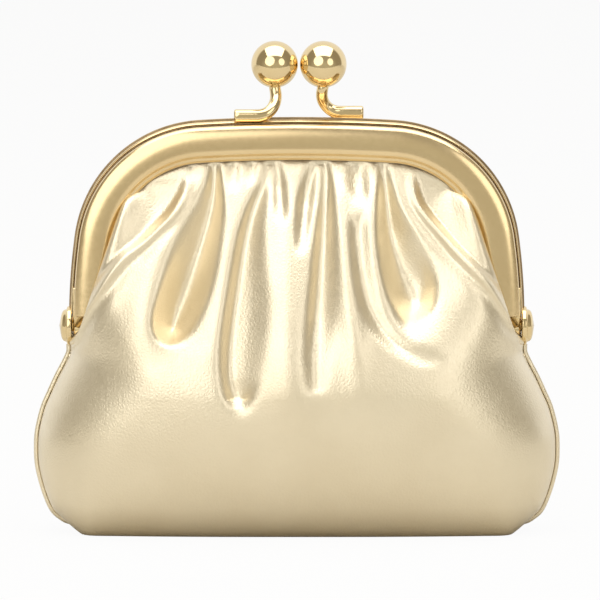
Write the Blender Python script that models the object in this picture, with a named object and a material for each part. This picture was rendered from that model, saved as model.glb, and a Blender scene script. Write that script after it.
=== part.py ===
"""Coin purse with a kiss-lock clasp: two hinged channel frames, a gathered leather pouch and its lining.

Metres, +Z up, +X to the right seen from the front, front at -Y. The origin is on the table, under the
middle of the purse.
"""

import math

import bmesh
import bpy
from mathutils import Matrix, Vector

# Frame arch seen from the front: the outside of the rear frame, three arcs on each side of the middle
frame_half_width = 0.0424
frame_rise = 0.0383
hinge_height = 0.0389
crown_radius = 0.303
shoulder_radius = 0.0248
side_radius = 0.120
front_frame_inset = 0.0004

# What the frame's channel holds, from its back wall to its face
sheet = 0.0006
parting_gap = 0.0003
tuck_gap = 0.00025
paper_cord = 0.001
lining_thickness = 0.0003
leather_thickness = 0.0008
lip_roll = 0.0005

# Channel section
channel_width = 0.0074
back_wall_width = 0.0069
face_crown = 0.0006
rim_flat = 0.00045
groove_depth = 0.00022
groove_width = 0.0003
edge_round = 0.0014
wall_lean = 0.0003

# Hinges
clearance = 0.0003
rivet_radius = 0.0010
rivet_head_radius = 0.00345
rivet_head_thickness = 0.0008
rivet_dome_radius = 0.0030
rivet_dome_rise = 0.0013
rivet_tail_radius = 0.0018
rivet_tail_thickness = 0.0006
rivet_head_inset = 0.0006
lug_thickness = 0.0007
lug_radius = 0.0028
knuckle_radius = 0.0023
knuckle_length = 0.0025
lug_rise = 0.0070

# Kiss-lock balls and their stems
ball_radius = 0.00435
ball_gap = 0.0003
ball_rise = 0.0102
ball_bore_depth = 0.0016
stem_radius = 0.0010
stem_bend_radius = 0.0035
stem_place = 0.00425
foot_end = 0.0120
foot_thickness = 0.0020
foot_width = 0.0022
foot_setback = 0.0020
foot_square_share = 5
stem_fit = 0.0002

# Leather pouch
pouch_overhang = 0.0049
pouch_half_depth = 0.0185
margin_depth = 0.0019
side_exit_rise = 0.0081
pleat_depth = 0.0032
side_taper_length = 0.010

# Where the pouch's columns run: end of the margin in the channel, fan of the columns down to the seam,
# place of the belly, and handles of the curves above and below it
margin_end_share = 0.05
fan_share = 1.45
belly_share = 0.70
upper_handle_share = 0.80
turned_handle_share = 0.60
lower_handle_share = 0.62
normal_step_share = 0.01

# The panels hang below the base seam and lie flat there. As shares of the base seam's height: how far
# a column's handle reaches below the seam, and how high up the corner that ends. As a share of the
# panel's thickness: how far its middle is pressed down, less than half, so that its skin lies flat.
base_lobe_share = 6.2
base_fade_share = 2.2
rest_share = 0.45

# Power and root of the belly's curve across the pouch
envelope_shares = (2.6, 0.45)

# First handle of a column, down and forward: where it drops straight down, and where it turns back
# over the channel beside a leg. The two limits say how far it has to turn back to count as such.
column_lag_share = 0.214
leather_swell_share = 0.30
lining_swell_share = 0.10
leather_lag_share = -0.30
leather_rush_share = 1.0
lining_rush_share = 0.40
turn_back_shares = (-0.95, -0.10)

# Columns stand closer together over this share of the panel to each side of its middle
pleated_share = 0.38

# Pleats, as shares: how far across the half panel a pleat's head and its foot lie, how far down a column
# its foot is, its half width across, and its depth. Each opens from a point at the frame into a hollow.
pleat_shares = [
    (-0.232, -0.282, 0.53, 0.068, 1.00),
    (-0.073, -0.118, 0.70, 0.056, 0.90),
    (0.073, 0.023, 0.69, 0.052, 0.90),
    (0.150, 0.225, 0.56, 0.038, 0.60),
    (0.241, 0.258, 0.51, 0.066, 1.00),
]
# Powers that shape a pleat's width, and the shares of its length where it gets to its depth and leaves it
pleat_width_shares = (1.3, 0.6)
pleat_rise_shares = (0.0, 0.75)
pleat_fade_shares = (0.80, 1.0)

# Seam welt between the two leather panels
welt_radius = 0.00055
welt_flange = 0.0005
welt_tuck = 0.0006
welt_gap = 0.00025
welt_end_share = 0.985

# Lining, a looser pouch inside the leather
lining_ease = 0.0053
lining_drop = 0.0011
lining_seam_inset = 0.0014
lining_exit_rise = 0.0145
lining_bow_share = 1.5

# Overrun of a cutter past what it cuts
overrun = 0.001

# Free edge of the leather beside each leg, from the channel's end down to the seam: across, forward, up.
# Across is a share of the frame's half width, forward of the channel's depth, up of the hinge's height.
side_edge_shares = [
    (0.778, 0.92, 1.185),
    (0.793, 1.24, 1.155),
    (0.882, 1.29, 1.070),
    (0.948, 1.12, 0.985),
    (0.988, 0.62, 0.918),
    (0.990, 0.22, 0.893),
]

# Free edge of the lining, which stays inside the legs
lining_edge_shares = [
    (0.770, 0.58, 1.200),
    (0.790, 0.66, 1.080),
    (0.840, 0.70, 0.980),
    (0.905, 0.55, 0.890),
    (0.945, 0.22, 0.850),
]

# Side seam, from the middle of the base round the corner to the hinge: shares of the pouch's half width
# and of the hinge's height. The base's own height comes from base_seam_height.
seam_shares = [
    (0.980, 0.215),
    (1.000, 0.400),
    (0.995, 0.530),
    (0.968, 0.640),
    (0.936, 0.725),
    (0.905, 0.800),
    (0.887, 0.862),
]
base_corner_shares = [(0.0, 0.0), (0.38, 0.0), (0.74, 0.0), (0.885, 0.018), (0.945, 0.075)]

# Finishes: colour, roughness, metallic
POLISHED_GOLD = ((0.80, 0.62, 0.33), 0.15, 1.0)
SATIN_GOLD = ((0.76, 0.60, 0.34), 0.3, 1.0)
LEATHER = ((0.78, 0.69, 0.50), 0.38, 0.65)
LINING = ((0.55, 0.44, 0.30), 0.85, 0.0)
PAPER = ((0.72, 0.62, 0.46), 0.9, 0.0)

# Derived places in the channel, as depths forward of the parting plane
wall_face = parting_gap / 2
wall_back = wall_face + sheet
cord_depth = wall_back + tuck_gap + paper_cord / 2
lining_depth = cord_depth + paper_cord / 2 + tuck_gap + lining_thickness / 2
leather_depth = lining_depth + lining_thickness / 2 + tuck_gap + leather_thickness / 2
lip_depth = leather_depth + leather_thickness / 2 + tuck_gap
face_depth = lip_depth + lip_roll + sheet
leg_end_rise = knuckle_radius + clearance
exit_drop = leather_thickness / 2 + clearance
bead_place = leather_thickness / 2 + welt_gap + math.sqrt(welt_radius**2 - (welt_flange / 2) ** 2)
base_seam_height = bead_place + welt_radius + clearance

# Derived places that follow the frame's outline
frame_top = hinge_height + frame_rise
ball_height = frame_top + ball_rise
rivet_head_place = frame_half_width - rivet_head_inset
pouch_half_width = frame_half_width + pouch_overhang


def smoothstep(low, high, value):
    t = min(1.0, max(0.0, (value - low) / (high - low)))
    return t * t * (3 - 2 * t)


def mix(a, b, share):
    return a + (b - a) * share


def arch_angles():
    """Headings, from the vertical, at which the crown ends and the shoulder ends."""
    first = crown_radius - shoulder_radius
    second = shoulder_radius - side_radius
    across = frame_half_width - side_radius
    up = crown_radius - frame_rise
    turn = math.acos((across**2 + up**2 - first**2 - second**2) / (2 * first * second))
    lean = math.atan2(second * math.sin(turn), first + second * math.cos(turn))
    crown_end = math.atan2(across, up) - lean
    return crown_end, crown_end + turn


CROWN_END, SHOULDER_END = arch_angles()


def arch_point(heading, outward):
    """Point (x, z) of the arch at a heading, moved outward along its normal."""
    side = -1 if heading < 0 else 1
    turn = abs(heading)
    x = 0.0
    z = frame_top - crown_radius
    radius = crown_radius
    if turn > CROWN_END:
        step = crown_radius - shoulder_radius
        x += step * math.sin(CROWN_END)
        z += step * math.cos(CROWN_END)
        radius = shoulder_radius
    if turn > SHOULDER_END:
        step = shoulder_radius - side_radius
        x += step * math.sin(SHOULDER_END)
        z += step * math.cos(SHOULDER_END)
        radius = side_radius
    reach = radius + outward
    return side * (x + reach * math.sin(turn)), z + reach * math.cos(turn)


def leg_heading(rise):
    """Heading at which the leg is this far above the hinge."""
    return math.acos(rise / side_radius)


def steps(start, end, count):
    return [mix(start, end, i / count) for i in range(count)]


def arch_headings(end, crown_steps=2, shoulder_steps=9, side_steps=3):
    half = steps(0.0, CROWN_END, crown_steps)
    half += steps(CROWN_END, SHOULDER_END, shoulder_steps)
    half += steps(SHOULDER_END, end, side_steps) + [end]
    return [-turn for turn in reversed(half[1:])] + half


def smooth_curve(points, per_span=8):
    """Points along a smooth curve through the given ones."""
    ends = [points[0] * 2 - points[1]] + list(points) + [points[-1] * 2 - points[-2]]
    path = []
    for i in range(1, len(ends) - 2):
        before, start, end, after = ends[i - 1 : i + 3]
        for k in range(per_span):
            t = k / per_span
            path.append(
                (
                    start * 2
                    + (end - before) * t
                    + (before * 2 - start * 5 + end * 4 - after) * t**2
                    + (start * 3 - before - end * 3 + after) * t**3
                )
                / 2
            )
    return path + [ends[-2]]


def path_length(path):
    return sum((b - a).length for a, b in zip(path, path[1:]))


def at_share(path, share):
    """Point at a share of a path's length."""
    lengths = [(b - a).length for a, b in zip(path, path[1:])]
    left = share * sum(lengths)
    for start, end, length in zip(path, path[1:], lengths):
        if left <= length:
            return start.lerp(end, left / length)
        left -= length
    return path[-1].copy()


def bezier(a, b, c, d, t):
    u = 1 - t
    return a * u**3 + 3 * b * u**2 * t + 3 * c * u * t**2 + d * t**3


def bowed(start, middle, end, share):
    """Point on the arc from start to end that middle draws it towards."""
    left = 1 - share
    return start * left**2 + middle * (2 * left * share) + end * share**2


def material(name, colour, roughness, metallic):
    made = bpy.data.materials.new(name)
    made.use_nodes = True
    shader = made.node_tree.nodes["Principled BSDF"]
    shader.inputs["Base Color"].default_value = (*colour, 1)
    shader.inputs["Roughness"].default_value = roughness
    shader.inputs["Metallic"].default_value = metallic
    return made


def make_object(name, mesh_data, finish=None):
    """Object from a bmesh. With no finish it is a hidden cutter or a shape that another object takes in."""
    bmesh.ops.recalc_face_normals(mesh_data, faces=mesh_data.faces)
    mesh = bpy.data.meshes.new(name)
    mesh_data.to_mesh(mesh)
    mesh_data.free()
    obj = bpy.data.objects.new(name, mesh)
    bpy.context.scene.collection.objects.link(obj)
    if finish:
        mesh.materials.append(material(name, *finish))
        mesh.shade_smooth()
        mesh.set_sharp_from_angle(angle=math.radians(35))
    else:
        obj.hide_render = True
        obj.display_type = "WIRE"
    return obj


def loft(rings):
    """Closed solid through rings of equally many points, with flat ends."""
    shape = bmesh.new()
    rows = [[shape.verts.new(point) for point in ring] for ring in rings]
    count = len(rows[0])
    for first, second in zip(rows, rows[1:]):
        for i in range(count):
            j = (i + 1) % count
            shape.faces.new((first[i], first[j], second[j], second[i]))
    shape.faces.new(rows[0])
    shape.faces.new(rows[-1])
    return shape


def revolve(profile, place, segments):
    """Closed solid turned from (along, radius) points. place(along, a, b) gives a world point."""
    shape = bmesh.new()
    rows = []
    for along, radius in profile:
        if radius == 0:
            rows.append([shape.verts.new(place(along, 0, 0))])
            continue
        turns = [2 * math.pi * i / segments for i in range(segments)]
        rows.append(
            [shape.verts.new(place(along, radius * math.cos(t), radius * math.sin(t))) for t in turns]
        )
    for first, second in zip(rows, rows[1:]):
        for i in range(segments):
            j = (i + 1) % segments
            corners = [first[i % len(first)], first[j % len(first)]]
            corners += [second[j % len(second)], second[i % len(second)]]
            shape.faces.new(list(dict.fromkeys(corners)))
    return shape


def boolean(obj, other, operation):
    modifier = obj.modifiers.new(f"{operation} {other.name}", "BOOLEAN")
    modifier.operation = operation
    modifier.object = other


def face_about(obj, half):
    """The rear half's pieces are the front's, turned about the upright axis."""
    if half == "rear":
        obj.data.transform(Matrix.Rotation(math.pi, 4, "Z"))
    return obj


def channel_section():
    """(outward, forward) points of the bent sheet, from the rim at the parting plane to the back wall."""
    rim_end = wall_face + rim_flat
    groove_start = rim_end + groove_depth
    groove_end = groove_start + groove_width
    bead_end = groove_end + rim_flat
    face_start = -edge_round - wall_lean
    face_end = -channel_width + lip_roll + sheet / 2
    face_middle = (face_start + face_end) / 2
    face_half = (face_start - face_end) / 2
    points = [
        (0.0, wall_face),
        (0.0, rim_end),
        (-groove_depth, groove_start),
        (-groove_depth, groove_end),
        (-groove_depth / 2, bead_end),
        (-wall_lean, face_depth - edge_round),
        (-wall_lean - edge_round / 3, face_depth - edge_round / 3),
    ]
    for i in range(6):
        outward = mix(face_start, face_end, i / 5)
        rise = 1 - ((outward - face_middle) / face_half) ** 2
        points.append((outward, face_depth + face_crown * rise))
    points += [
        (-channel_width + sheet / 2, face_depth - sheet / 2),
        (-channel_width, face_depth - sheet - lip_roll / 2),
        (-channel_width + sheet / 3, lip_depth),
        (-channel_width + lip_roll + sheet, face_depth - sheet),
        (-edge_round - wall_lean, face_depth - sheet),
        (-sheet - wall_lean, face_depth - edge_round - sheet / 2),
        (-sheet - groove_depth, wall_back),
        (-back_wall_width, wall_back),
        (-back_wall_width, wall_face),
    ]
    return points


def lug_outline(radius):
    """(forward, up) outline of a leg's lug, from inside the channel down round the hinge axis."""
    inner = wall_face + sheet / 2
    outer = face_depth - sheet / 2
    outline = [(inner, lug_rise), (outer, lug_rise), (outer, leg_end_rise + sheet)]
    start = math.atan2(sheet, radius)
    end = math.acos(inner / radius) - 2 * math.pi
    turns = [mix(start, end, i / 16) for i in range(17)]
    outline += [(radius * math.cos(t), radius * math.sin(t)) for t in turns]
    return outline


def lug(name, radius, near, far):
    """Plate between two distances from the middle, left and right in turn."""
    shapes = []
    for side in (-1, 1):
        rings = [
            [Vector((side * across, -forward, hinge_height + up)) for forward, up in lug_outline(radius)]
            for across in (near, far)
        ]
        shapes.append(make_object(f"{name}_{side}", loft(rings)))
    return shapes


def along_x(side):
    return lambda along, a, b: Vector((side * along, a, hinge_height + b))


def frame_half(half):
    """One channel frame with its two hinge lugs. The front's lugs are knuckles inside the rear's plates."""
    inset = front_frame_inset if half == "front" else 0.0
    section = channel_section()
    rings = []
    for heading in arch_headings(leg_heading(leg_end_rise)):
        ring = []
        for outward, forward in section:
            x, z = arch_point(heading, outward - inset)
            ring.append(Vector((x, -forward, z)))
        rings.append(ring)
    name = f"{half}_frame"
    obj = make_object(name, loft(rings), SATIN_GOLD)

    plate_far = rivet_head_place - clearance
    plate_near = plate_far - lug_thickness
    knuckle_far = plate_near - clearance
    if half == "front":
        lugs = lug(f"{name}_knuckle", knuckle_radius, knuckle_far - knuckle_length, knuckle_far)
        relief_start = knuckle_far - knuckle_length / 2
    else:
        lugs = lug(f"{name}_lug", lug_radius, plate_near, plate_far)
        relief_start = plate_far - lug_thickness / 2
    relief_end = frame_half_width + overrun
    relief_radius = rivet_head_radius + clearance
    relief = [(relief_start, 0), (relief_start, relief_radius)]
    relief += [(relief_end, relief_radius), (relief_end, 0)]
    reach = relief_end + overrun
    bore_radius = rivet_radius + clearance
    bore = [(-reach, 0), (-reach, bore_radius), (reach, bore_radius), (reach, 0)]
    cutter = make_object(f"{name}_bore", revolve(bore, along_x(1), 20))
    reliefs = [
        make_object(f"{name}_relief_{side}", revolve(relief, along_x(side), 20)) for side in (-1, 1)
    ]
    for shape in reliefs:
        boolean(obj, face_about(shape, half), "DIFFERENCE")
    for shape in lugs:
        boolean(obj, face_about(shape, half), "UNION")
    boolean(obj, face_about(cutter, half), "DIFFERENCE")
    return face_about(obj, half)


def hinge_rivet(name, side):
    """Domed rivet with a flanged head outside the lugs and a small tail inside them."""
    tail_far = rivet_head_place - clearance * 3 - lug_thickness - knuckle_length
    tail_near = tail_far - rivet_tail_thickness
    head_far = rivet_head_place + rivet_head_thickness
    profile = [
        (tail_near, 0),
        (tail_near, rivet_tail_radius * 2 / 3),
        (tail_near + rivet_tail_thickness / 2, rivet_tail_radius),
        (tail_far, rivet_tail_radius),
        (tail_far, rivet_radius),
        (rivet_head_place, rivet_radius),
        (rivet_head_place, rivet_head_radius),
        (head_far, rivet_head_radius),
    ]
    for i in range(5):
        turn = math.pi / 2 * i / 5
        profile.append((head_far + rivet_dome_rise * math.sin(turn), rivet_dome_radius * math.cos(turn)))
    profile.append((head_far + rivet_dome_rise, 0))
    return make_object(name, revolve(profile, along_x(side), 20), POLISHED_GOLD)


def ball_place():
    return ball_radius + ball_gap / 2


def clasp_ball(half):
    """Ball with a blind bore underneath for its stem. The front frame's ball stands on the left."""
    bore_radius = stem_radius + stem_fit
    start = math.asin(bore_radius / ball_radius)
    profile = [
        (-ball_radius + ball_bore_depth, 0),
        (-ball_radius + ball_bore_depth, bore_radius),
    ]
    for i in range(13):
        turn = mix(start, math.pi, i / 13)
        profile.append((-ball_radius * math.cos(turn), ball_radius * math.sin(turn)))
    profile.append((ball_radius, 0))

    def place(along, a, b):
        return Vector((-ball_place() + a, b, ball_height + along))

    obj = make_object(f"{half}_ball", revolve(profile, place, 18), POLISHED_GOLD)
    return face_about(obj, half)


def clasp_stem(half):
    """Wire stem: a squared foot on the frame's top, a bend, and a round post that leans in to the ball."""
    top_outward = -front_frame_inset if half == "front" else 0.0
    seat_height = arch_point(0.0, top_outward)[1]
    foot_height = seat_height + stem_fit + foot_thickness / 2
    bend_height = foot_height + stem_bend_radius
    bend_place = stem_place + stem_bend_radius
    post_top = ball_height - ball_radius + ball_bore_depth - stem_fit
    stations = [(-foot_end, foot_height, 0.0, 0.0), (-bend_place, foot_height, 0.0, 0.0)]
    for i in range(1, 7):
        turn = math.pi / 2 * i / 6
        x = -bend_place + stem_bend_radius * math.sin(turn)
        z = bend_height - stem_bend_radius * math.cos(turn)
        stations.append((x, z, turn, i / 6))
    neck_height = ball_height - ball_radius - stem_fit
    post_x = -ball_place()
    stations.append((post_x, neck_height, math.pi / 2, 1.0))
    stations.append((post_x, post_top, math.pi / 2, 1.0))

    rings = []
    for x, z, turn, round_share in stations:
        lean = smoothstep(foot_height, neck_height, z)
        forward = mix(foot_setback, 0.0, lean)
        tall = mix(foot_thickness / 2, stem_radius, round_share)
        wide = mix(foot_width / 2, stem_radius, round_share)
        squareness = mix(foot_square_share, 2, round_share)
        normal = Vector((-math.sin(turn), 0, math.cos(turn)))
        ring = []
        for k in range(12):
            angle = 2 * math.pi * (k + 0.5) / 12
            up = math.copysign(abs(math.cos(angle)) ** (2 / squareness), math.cos(angle))
            out = math.copysign(abs(math.sin(angle)) ** (2 / squareness), math.sin(angle))
            ring.append(Vector((x, -forward, z)) + normal * up * tall + Vector((0, out * wide, 0)))
        rings.append(ring)
    obj = make_object(f"{half}_ball_stem", loft(rings), POLISHED_GOLD)
    return face_about(obj, half)


def paper_cord_ring(half):
    """Twisted paper cord that wedges the leather and the lining in the channel."""
    inset = front_frame_inset if half == "front" else 0.0
    middle = -(margin_depth + channel_width) / 2 - inset
    rings = []
    for heading in arch_headings(leg_heading(side_exit_rise)):
        ring = []
        for k in range(6):
            turn = 2 * math.pi * k / 6
            x, z = arch_point(heading, middle + paper_cord / 2 * math.cos(turn))
            ring.append(Vector((x, -cord_depth - paper_cord / 2 * math.sin(turn), z)))
        rings.append(ring)
    obj = make_object(f"{half}_paper_cord", loft(rings), PAPER)
    return face_about(obj, half)


def seam_path(inset):
    """Half of the seam in the parting plane, from the middle of the base to just under the hinge."""
    points = []
    for across, up in base_corner_shares:
        points.append(Vector((across * pouch_half_width, 0, base_seam_height + up * hinge_height)))
    for across, up in seam_shares:
        points.append(Vector((across * pouch_half_width, 0, up * hinge_height)))
    path = smooth_curve(points)
    if not inset:
        return path
    moved = []
    for i, point in enumerate(path):
        tangent = path[min(i + 1, len(path) - 1)] - path[max(i - 1, 0)]
        outward = Vector((tangent.z, 0, -tangent.x)).normalized()
        moved.append(point - outward * inset)
    return moved


def column_places(pleated, plain):
    """Places across a panel from -1 to 1: so many columns where it is pleated and so many to each side."""
    side = steps(pleated_share, 1.0, plain) + [1.0]
    middle = steps(-pleated_share, pleated_share, pleated)
    return [-place for place in reversed(side[1:])] + middle + side


def pleat_hollow(place, down):
    """Share of the pleat depth by which a panel is drawn in at a place across it and a share down it."""
    deepest = 0.0
    length_power, width_power = pleat_width_shares
    for head, foot, end, half_width, depth in pleat_shares:
        along = down / end
        if not 0 < along < 1:
            continue
        width = half_width * math.sin(math.pi * along**length_power) ** width_power
        off_middle = (place - mix(head, foot, along)) / width
        reached = smoothstep(*pleat_rise_shares, along) * (1 - smoothstep(*pleat_fade_shares, along))
        deepest = max(deepest, depth * reached * max(0.0, 1 - off_middle**2))
    return deepest


def exit_path(depth, drop, inset, exit_rise, edge_shares):
    """Half of the line where a panel leaves the channel, then its free edge beside the leg.

    The second value is the share of the whole line that lies in the channel.
    """
    points = []
    headings = arch_headings(leg_heading(exit_rise))
    for heading in headings[len(headings) // 2 :]:
        x, z = arch_point(heading, -channel_width - drop - inset)
        points.append(Vector((x, depth, z)))
    edge = [points[-1]]
    for across, forward, up in edge_shares:
        edge.append(Vector((across * frame_half_width, forward * face_depth, up * hinge_height)))
    path = points[:-1] + smooth_curve(edge, 4)
    return path, path_length(points) / path_length(path)


def pouch_half(half, name, finish, look):
    """Half of a pouch as a closed shell: columns fan from the frame down to the seam.

    look holds its depth in the channel and its drop below, its thickness, belly and pleats, where it
    leaves the channel, its free edge, its seam, its lowest place and its counts of columns and rows.
    """
    inset = front_frame_inset if half == "front" else 0.0
    exits, channel_share = exit_path(look["depth"], look["drop"], inset, look["exit_rise"], look["edge"])
    seam = seam_path(look["seam_inset"])
    thickness = look["thickness"]
    upper, lower = look["rows"]
    envelope_power, envelope_root = envelope_shares
    margin_start = channel_share - 2 * margin_end_share
    margin_end = channel_share - margin_end_share
    grid = []
    for place in column_places(*look["columns"]):
        side = -1 if place < 0 else 1
        share = abs(place)
        start = at_share(exits, share)
        finish_point = at_share(seam, 1 - (1 - share) ** fan_share)
        span = (finish_point - start).length
        across = mix(start.x, finish_point.x, belly_share) / (pouch_half_width - look["seam_inset"])
        envelope = look["belly"] * (1 - min(1.0, across) ** envelope_power) ** envelope_root
        belly = mix(start.y, max(start.y, envelope), smoothstep(0, side_taper_length, span))
        base = 1 - smoothstep(base_seam_height, base_seam_height * base_fade_share, finish_point.z)
        lobe = base_lobe_share * base_seam_height * base / span
        in_channel = 1 - smoothstep(margin_start, margin_end, share)
        outward = channel_normal(exits, min(share, channel_share))
        run = Vector((finish_point.x - start.x, 0, finish_point.z - start.z)).normalized()
        turned = smoothstep(*turn_back_shares, run.dot(outward))
        lag = mix(column_lag_share, look["lag_share"], turned)
        rush = mix(look["swell_share"], look["rush_share"], turned)
        handle = mix(upper_handle_share, turned_handle_share, turned)
        column = []
        for back in (1.0, 0.5):
            reach = mix(thickness / 4, channel_width - margin_depth + look["drop"], in_channel) * back
            column.append((start + outward * reach, 0.0))
        flat_start = Vector((start.x, 0, start.z))
        flat_end = Vector((finish_point.x, 0, finish_point.z))
        half_way = (flat_start + flat_end) / 2
        half_way.x = mix(half_way.x, start.x, look["bow_share"])
        for k in range(upper):
            t = k / upper
            f = bezier(0.0, belly_share * lag, belly_share * handle, belly_share, t)
            deep = bezier(start.y, mix(start.y, belly, rush), belly, belly, t)
            column.append((bowed(flat_start, half_way, flat_end, f) + Vector((0, deep, 0)), f))
        for k in range(lower + 1):
            t = k / lower
            f = bezier(belly_share, mix(belly_share, 1, lower_handle_share), 1 + lobe, 1.0, t)
            deep = bezier(belly, belly, belly * lower_handle_share, look["edge_gap"], t)
            column.append((bowed(flat_start, half_way, flat_end, f) + Vector((0, deep, 0)), f))
        points = []
        lowest = look["floor"] + thickness * rest_share
        for point, f in column:
            deep = point.y - look["pleat"] * pleat_hollow(place, f)
            points.append(Vector((side * point.x, -deep, max(point.z, lowest))))
        grid.append(points)
    obj = make_object(name, thick_sheet(grid, thickness, look["floor"]), finish)
    return face_about(obj, half)


def channel_normal(exits, share):
    """Outward normal of the exit line, in the parting plane."""
    step = normal_step_share
    tangent = at_share(exits, share + step) - at_share(exits, max(0.0, share - step))
    return Vector((-tangent.z, 0, tangent.x)).normalized()


def thick_sheet(grid, thickness, floor):
    """Closed shell around a grid of points, half its thickness to each side, flat on its floor."""
    columns = len(grid)
    rows = len(grid[0])

    def normal(i, j):
        along = grid[min(i + 1, columns - 1)][j] - grid[max(i - 1, 0)][j]
        down = grid[i][min(j + 1, rows - 1)] - grid[i][max(j - 1, 0)]
        return along.cross(down).normalized()

    def vertex(i, j, side, lowest):
        point = grid[i][j] + normal(i, j) * side * thickness / 2
        if grid[i][j].z < floor + thickness / 2:
            point.z = lowest
        return shape.verts.new(point)

    shape = bmesh.new()
    skins = []
    for side, lowest in ((1, floor + thickness), (-1, floor)):
        skins.append([[vertex(i, j, side, lowest) for j in range(rows)] for i in range(columns)])
    for skin in skins:
        for i in range(columns - 1):
            for j in range(rows - 1):
                shape.faces.new((skin[i][j], skin[i + 1][j], skin[i + 1][j + 1], skin[i][j + 1]))
    first, second = skins
    for i in range(columns - 1):
        for j in (0, rows - 1):
            shape.faces.new((first[i][j], first[i + 1][j], second[i + 1][j], second[i][j]))
    for j in range(rows - 1):
        for i in (0, columns - 1):
            shape.faces.new((first[i][j], first[i][j + 1], second[i][j + 1], second[i][j]))
    return shape


def leather_panel(half, name):
    look = {
        "depth": leather_depth,
        "drop": exit_drop,
        "seam_inset": 0.0,
        "belly": pouch_half_depth,
        "thickness": leather_thickness,
        "edge_gap": welt_flange / 2 + welt_gap + leather_thickness / 4,
        "edge": side_edge_shares,
        "columns": (24, 10),
        "rows": (9, 6),
        "pleat": pleat_depth,
        "floor": 0.0,
        "swell_share": leather_swell_share,
        "lag_share": leather_lag_share,
        "rush_share": leather_rush_share,
        "bow_share": 0.0,
        "exit_rise": side_exit_rise,
    }
    return pouch_half(half, name, LEATHER, look)


def lining_panel(half, name):
    look = {
        "depth": lining_depth,
        "drop": exit_drop + lining_drop,
        "seam_inset": lining_seam_inset,
        "belly": pouch_half_depth - lining_ease,
        "thickness": lining_thickness,
        "edge_gap": parting_gap / 2,
        "edge": lining_edge_shares,
        "columns": (6, 5),
        "rows": (4, 4),
        "pleat": 0.0,
        "floor": leather_thickness + clearance,
        "swell_share": lining_swell_share,
        "lag_share": column_lag_share,
        "rush_share": lining_rush_share,
        "bow_share": lining_bow_share,
        "exit_rise": lining_exit_rise,
    }
    return pouch_half(half, name, LINING, look)


def seam_welt():
    """Piping round the seam: a bead outside and a flange between the two panels' edges."""
    flange = -leather_thickness / 2 - welt_tuck
    section = [(flange, welt_flange / 2), (flange, -welt_flange / 2)]
    start = math.pi - math.asin(welt_flange / 2 / welt_radius)
    for i in range(7):
        turn = mix(-start, start, i / 6)
        section.append((bead_place + welt_radius * math.cos(turn), welt_radius * math.sin(turn)))
    half = seam_path(0.0)
    last = at_share(half, welt_end_share)
    half = [point for point in half[::4] if point.z < last.z or point.x < pouch_half_width / 2]
    path = [Vector((-p.x, 0, p.z)) for p in reversed(half[1:])] + half
    rings = []
    for i, point in enumerate(path):
        tangent = path[min(i + 1, len(path) - 1)] - path[max(i - 1, 0)]
        outward = Vector((tangent.z, 0, -tangent.x)).normalized()
        rings.append([point + outward * out + Vector((0, across, 0)) for out, across in section])
    return make_object("seam_welt", loft(rings), LEATHER)


def clear_scene():
    for obj in list(bpy.data.objects):
        bpy.data.objects.remove(obj, do_unlink=True)


def build():
    clear_scene()
    for half in ("front", "rear"):
        frame_half(half)
        clasp_stem(half)
        clasp_ball(half)
        paper_cord_ring(half)
    hinge_rivet("left_hinge_rivet", -1)
    hinge_rivet("right_hinge_rivet", 1)
    leather_panel("front", "front_panel")
    leather_panel("rear", "back_panel")
    lining_panel("front", "front_lining")
    lining_panel("rear", "back_lining")
    seam_welt()


build()
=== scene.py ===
"""Looks of a gathered leather coin purse with a kiss-lock frame. Metres, front at -Y, standing on z = 0."""

import math
from collections import namedtuple

import bmesh
import bpy
import numpy as np
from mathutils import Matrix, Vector


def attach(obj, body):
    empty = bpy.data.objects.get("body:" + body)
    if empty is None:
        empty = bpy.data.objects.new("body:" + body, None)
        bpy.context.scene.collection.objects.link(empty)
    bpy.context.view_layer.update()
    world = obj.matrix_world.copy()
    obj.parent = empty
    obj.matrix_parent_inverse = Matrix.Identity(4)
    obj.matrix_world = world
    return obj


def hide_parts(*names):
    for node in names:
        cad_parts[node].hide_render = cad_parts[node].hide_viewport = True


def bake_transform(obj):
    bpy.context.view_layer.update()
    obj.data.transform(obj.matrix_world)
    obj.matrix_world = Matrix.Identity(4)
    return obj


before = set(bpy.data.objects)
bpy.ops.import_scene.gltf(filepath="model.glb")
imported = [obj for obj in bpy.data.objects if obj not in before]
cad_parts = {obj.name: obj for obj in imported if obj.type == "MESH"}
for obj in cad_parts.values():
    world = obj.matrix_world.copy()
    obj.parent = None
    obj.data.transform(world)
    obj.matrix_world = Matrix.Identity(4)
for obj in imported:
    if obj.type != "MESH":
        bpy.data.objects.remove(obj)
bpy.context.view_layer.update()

# Camera: how far it looks down, its distance, and what a pixel of the 600 px frame spans at the purse
CAMERA_DROP = math.radians(5.5)
CAMERA_DISTANCE = 0.90
PIXEL = 0.000186
FRAME_PIXELS = 600
TARGET = np.array([0.0006, 0.0, 0.04326])
SENSOR = 36.0

# Frame arch, as in the CAD model
HINGE_HEIGHT = 0.0389
FRAME_RISE = 0.0384
FRAME_TOP = HINGE_HEIGHT + FRAME_RISE
HALF_WIDTH = 0.0424
CROWN_RADIUS = 0.303
SHOULDER_RADIUS = 0.0248
SIDE_RADIUS = 0.120
INSET = {"front": 0.0004, "rear": 0.0}
CHANNEL_WIDTH = 0.0074
LEG_END_RISE = 0.0020

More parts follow.
